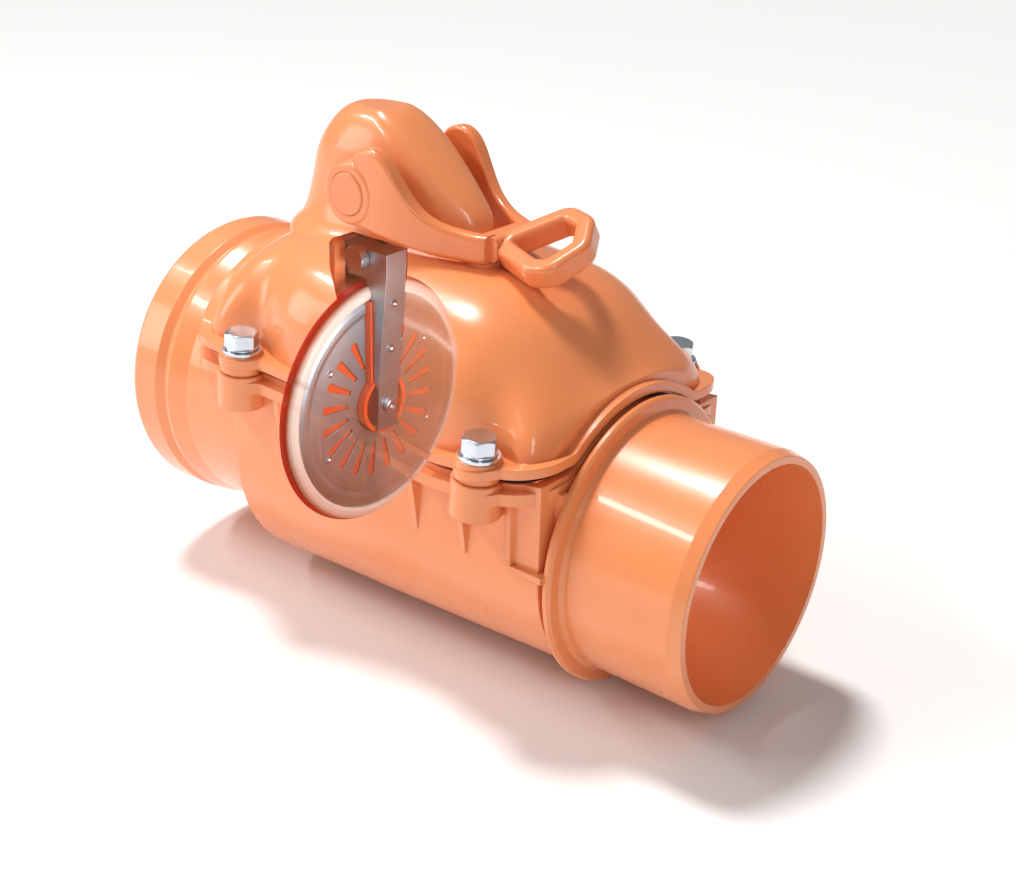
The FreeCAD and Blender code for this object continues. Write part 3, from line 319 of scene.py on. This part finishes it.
# Bolts and washers are forged and rolled steel, plated with bright zinc: bluish, with small soft highlights.
zincStyle = dict(sheetStyle, deep="#C9D0DA", light="#E4EAF1", brushScale=(900.0, 900.0, 900.0),
                 brushStrength=0.08, roughness=0.22, edgeRadius=0.0004)
zincSteel = wroughtMetal("steelZincPlated", zincStyle)
# Pins and shaft are ground stainless bar: greyer, smooth all round.
pinStyle = dict(zincStyle, deep="#A6A9AE", light="#C2C5CA", roughness=0.28)
pinSteel = wroughtMetal("stainlessSteelGround", pinStyle)
# The threaded inserts are turned brass, dulled by handling.
brassStyle = dict(zincStyle, deep="#A58742", light="#C9A860", roughness=0.30)
brassMetal = wroughtMetal("brassKnurled", brassStyle)
slotMaterials = {"orange_plastic": orangeShell, "lever_plastic": leverPlastic, "flap_plastic": flapPlastic,
                 "rim_plastic": rimPlastic, "bush_plastic": bushPlastic, "red_rubber": redRubber,
                 "black_rubber": blackRubber, "stainless_sheet": stainlessSheet, "zinc_steel": zincSteel,
                 "pin_steel": pinSteel, "brass": brassMetal}
slotOfNode = {part["node"]: part["material_slot"] for part in frame["record"]["subparts"]}
for name, obj in nodes.items():
    obj.data.materials.clear()
    obj.data.materials.append(slotMaterials[slotOfNode[name]])
print("metals made and CAD nodes dressed")

# bolts

# Lengths of one bolt from its seat on the cover's boss, then the places of the four. A cone cuts the head's
# corners back, as the turned chamfer of a forged hexagon head does.
boltStyle = {"acrossFlats": 0.013, "headHeight": 0.0062, "flangeRadius": 0.0072, "flangeHeight": 0.0012,
             "flangeEdge": 0.0004, "washer": 0.0016, "shankRadius": 0.004, "shankEdge": 0.0006,
             "length": 0.020, "coneHeight": 0.0070, "coneFlare": 0.0105, "coneInset": 0.0003,
             "overlap": 0.0002, "tilt": math.radians(3.1), "x": (-0.221, -0.088), "y": 0.067,
             "seatX": -0.088, "seatZ": 0.0515}
headBase = boltStyle["washer"] + boltStyle["flangeHeight"]
headTop = headBase + boltStyle["headHeight"]
cornerRadius = boltStyle["acrossFlats"] / math.sqrt(3)
deselectAll()
bpy.ops.mesh.primitive_cylinder_add(vertices=6, radius=cornerRadius, depth=boltStyle["headHeight"],
                                    location=(0, 0, headBase + boltStyle["headHeight"] / 2),
                                    rotation=(0, 0, math.radians(30)))
head = bpy.context.object
bpy.ops.mesh.primitive_cone_add(vertices=72, radius1=boltStyle["acrossFlats"] / 2 + boltStyle["coneFlare"],
                                radius2=boltStyle["acrossFlats"] / 2 - boltStyle["coneInset"],
                                depth=boltStyle["coneHeight"],
                                location=(0, 0, headTop - boltStyle["coneHeight"] / 2))
chamferCone = bpy.context.object
cut = head.modifiers.new("chamfer", "BOOLEAN")
cut.operation = "INTERSECT"
cut.solver = "EXACT"
cut.object = chamferCone
bpy.context.view_layer.objects.active = head
bpy.ops.object.modifier_apply(modifier=cut.name)
bpy.data.objects.remove(chamferCone)
deselectAll()
bpy.ops.mesh.primitive_cylinder_add(vertices=64, radius=boltStyle["flangeRadius"],
                                    depth=boltStyle["flangeHeight"],
                                    location=(0, 0, boltStyle["washer"] + boltStyle["flangeHeight"] / 2))
flange = bpy.context.object
bevelEdges(flange, boltStyle["flangeEdge"], 3)
deselectAll()
shankTop = boltStyle["washer"] + boltStyle["overlap"]
bpy.ops.mesh.primitive_cylinder_add(vertices=48, radius=boltStyle["shankRadius"],
                                    depth=boltStyle["length"] + shankTop,
                                    location=(0, 0, (shankTop - boltStyle["length"]) / 2))
shank = bpy.context.object
bevelEdges(shank, boltStyle["shankEdge"], 2)
bolt = joinPieces([head, flange, shank], "hexBolt")
settle(bolt)
bolts = []
for x in boltStyle["x"]:
    z = boltStyle["seatZ"] - (x - boltStyle["seatX"]) * math.tan(boltStyle["tilt"])
    for side in (-1, 1):
        one = copyPiece(bolt)
        one.location = (x, side * boltStyle["y"], z)
        one.rotation_euler = (0, boltStyle["tilt"], 0)
        settle(one, 32)
        bolts.append(one)
bpy.data.objects.remove(bolt)
hexBolts = joinPieces(bolts, "hexBolts")
dress(hexBolts, zincSteel, "cover_bolts")
print("bolts made")

# flap seal


def turnedRing(name, profile, centre, way, out, steps):
    deselectAll()
    bpy.ops.mesh.primitive_circle_add(vertices=len(profile), fill_type="NOTHING")
    ring = bpy.context.object
    ring.name = name
    for vertex, (along, radius) in zip(ring.data.vertices, profile):
        vertex.co = Vector(centre) + Vector(way) * along + Vector(out) * radius
    bpy.ops.object.mode_set(mode="EDIT")
    bpy.ops.mesh.select_all(action="SELECT")
    bpy.ops.mesh.spin(steps=steps, angle=2 * math.pi, center=centre, axis=way)
    settle(ring, 40)
    return ring


def roundedOutline(x0, x1, r0, r1, edge, steps=5):
    corners = [(x0 + edge, r0 + edge, 180), (x1 - edge, r0 + edge, 270), (x1 - edge, r1 - edge, 0),
               (x0 + edge, r1 - edge, 90)]
    points = []
    for along, radius, start in corners:
        for i in range(steps):
            turn = math.radians(start + 90 * i / (steps - 1))
            points.append((along + edge * math.cos(turn), radius + edge * math.sin(turn)))
    return points


sealStyle = {"x": (-0.2114, -0.2084), "inner": 0.047, "outer": 0.058, "edge": 0.0013,
             "centre": (0.0, 0.0, 0.019), "steps": 180}
sealProfile = roundedOutline(*sealStyle["x"], sealStyle["inner"], sealStyle["outer"], sealStyle["edge"])
seal = turnedRing("sealRing", sealProfile, sealStyle["centre"], (1, 0, 0), (0, 0, 1), sealStyle["steps"])
dress(seal, redRubber, "flap_seal")
print("seal made")

# floor and light

studio = {"floorZ": -0.0622, "floorSize": 14.0, "floorColor": "#F4F2F0", "worldColor": "#FFFFFF",
          "worldStrength": 0.24}
deselectAll()
bpy.ops.mesh.primitive_plane_add(size=studio["floorSize"], location=(0, 0, studio["floorZ"]))
floor = bpy.context.object
floor.name = "studioFloor"
material, tree = newMaterial("paperFloorPale")
place = addNode(tree, "ShaderNodeTexCoord").outputs["Object"]
speck = addNode(tree, "ShaderNodeTexNoise", {"Scale": 3.0, "Detail": 2.0}, {"Vector": place})
rough = addNode(tree, "ShaderNodeMapRange", {"To Min": 0.75, "To Max": 0.9}, {"Value": speck.outputs["Fac"]})
paper = addNode(tree, "ShaderNodeBsdfPrincipled",
                {"Base Color": linearColor(studio["floorColor"]), "Specular IOR Level": 0.1},
                {"Roughness": rough.outputs["Result"]})
addNode(tree, "ShaderNodeOutputMaterial", feeds={"Surface": paper.outputs["BSDF"]})
floor.data.materials.append(material)

world = bpy.data.worlds.new("studioWorld")
world.use_nodes = True
world.node_tree.nodes.clear()
sky = addNode(world.node_tree, "ShaderNodeBackground",
              {"Color": linearColor(studio["worldColor"]), "Strength": studio["worldStrength"]})
addNode(world.node_tree, "ShaderNodeOutputWorld", feeds={"Surface": sky.outputs["Background"]})
bpy.context.scene.world = world

sunStyle = {"strength": 2.6, "softness": 12, "from": (-0.42, 0.10, 1.0)}
sunData = bpy.data.lights.new("skySun", "SUN")
sunData.energy = sunStyle["strength"]
sunData.angle = math.radians(sunStyle["softness"])
sun = bpy.data.objects.new("skySun", sunData)
bpy.context.collection.objects.link(sun)
sun.rotation_euler = (-Vector(sunStyle["from"])).to_track_quat("-Z", "Y").to_euler()
# Three soft boxes draw the streaks on the shell, and a small lamp inside the chamber lights the flap.
lamps = {"stripBox": {"place": (-0.72, -0.50, 0.80), "size": (0.80, 0.07), "watts": 5.0},
         "frontBox": {"place": (0.75, -0.75, 0.75), "size": (0.14, 0.60), "watts": 2.5},
         "leftBox": {"place": (-1.05, -0.75, 0.35), "size": (0.4, 0.5), "watts": 2.5},
         "chamberLamp": {"place": (-0.125, -0.012, 0.05), "size": (0.07, 0.05), "watts": 0.085,
                         "aim": (-0.21, 0.0, 0.025)}}
middle = (-0.15, 0.0, 0.03)
for lampName, lamp in lamps.items():
    data = bpy.data.lights.new(lampName, "AREA")
    data.shape = "RECTANGLE"
    data.size, data.size_y = lamp["size"]
    data.energy = lamp["watts"]
    obj = bpy.data.objects.new(lampName, data)
    bpy.context.collection.objects.link(obj)
    obj.location = lamp["place"]
    way = Vector(lamp.get("aim", middle)) - Vector(lamp["place"])
    obj.rotation_euler = way.to_track_quat("-Z", "Y").to_euler()
print("studio made")
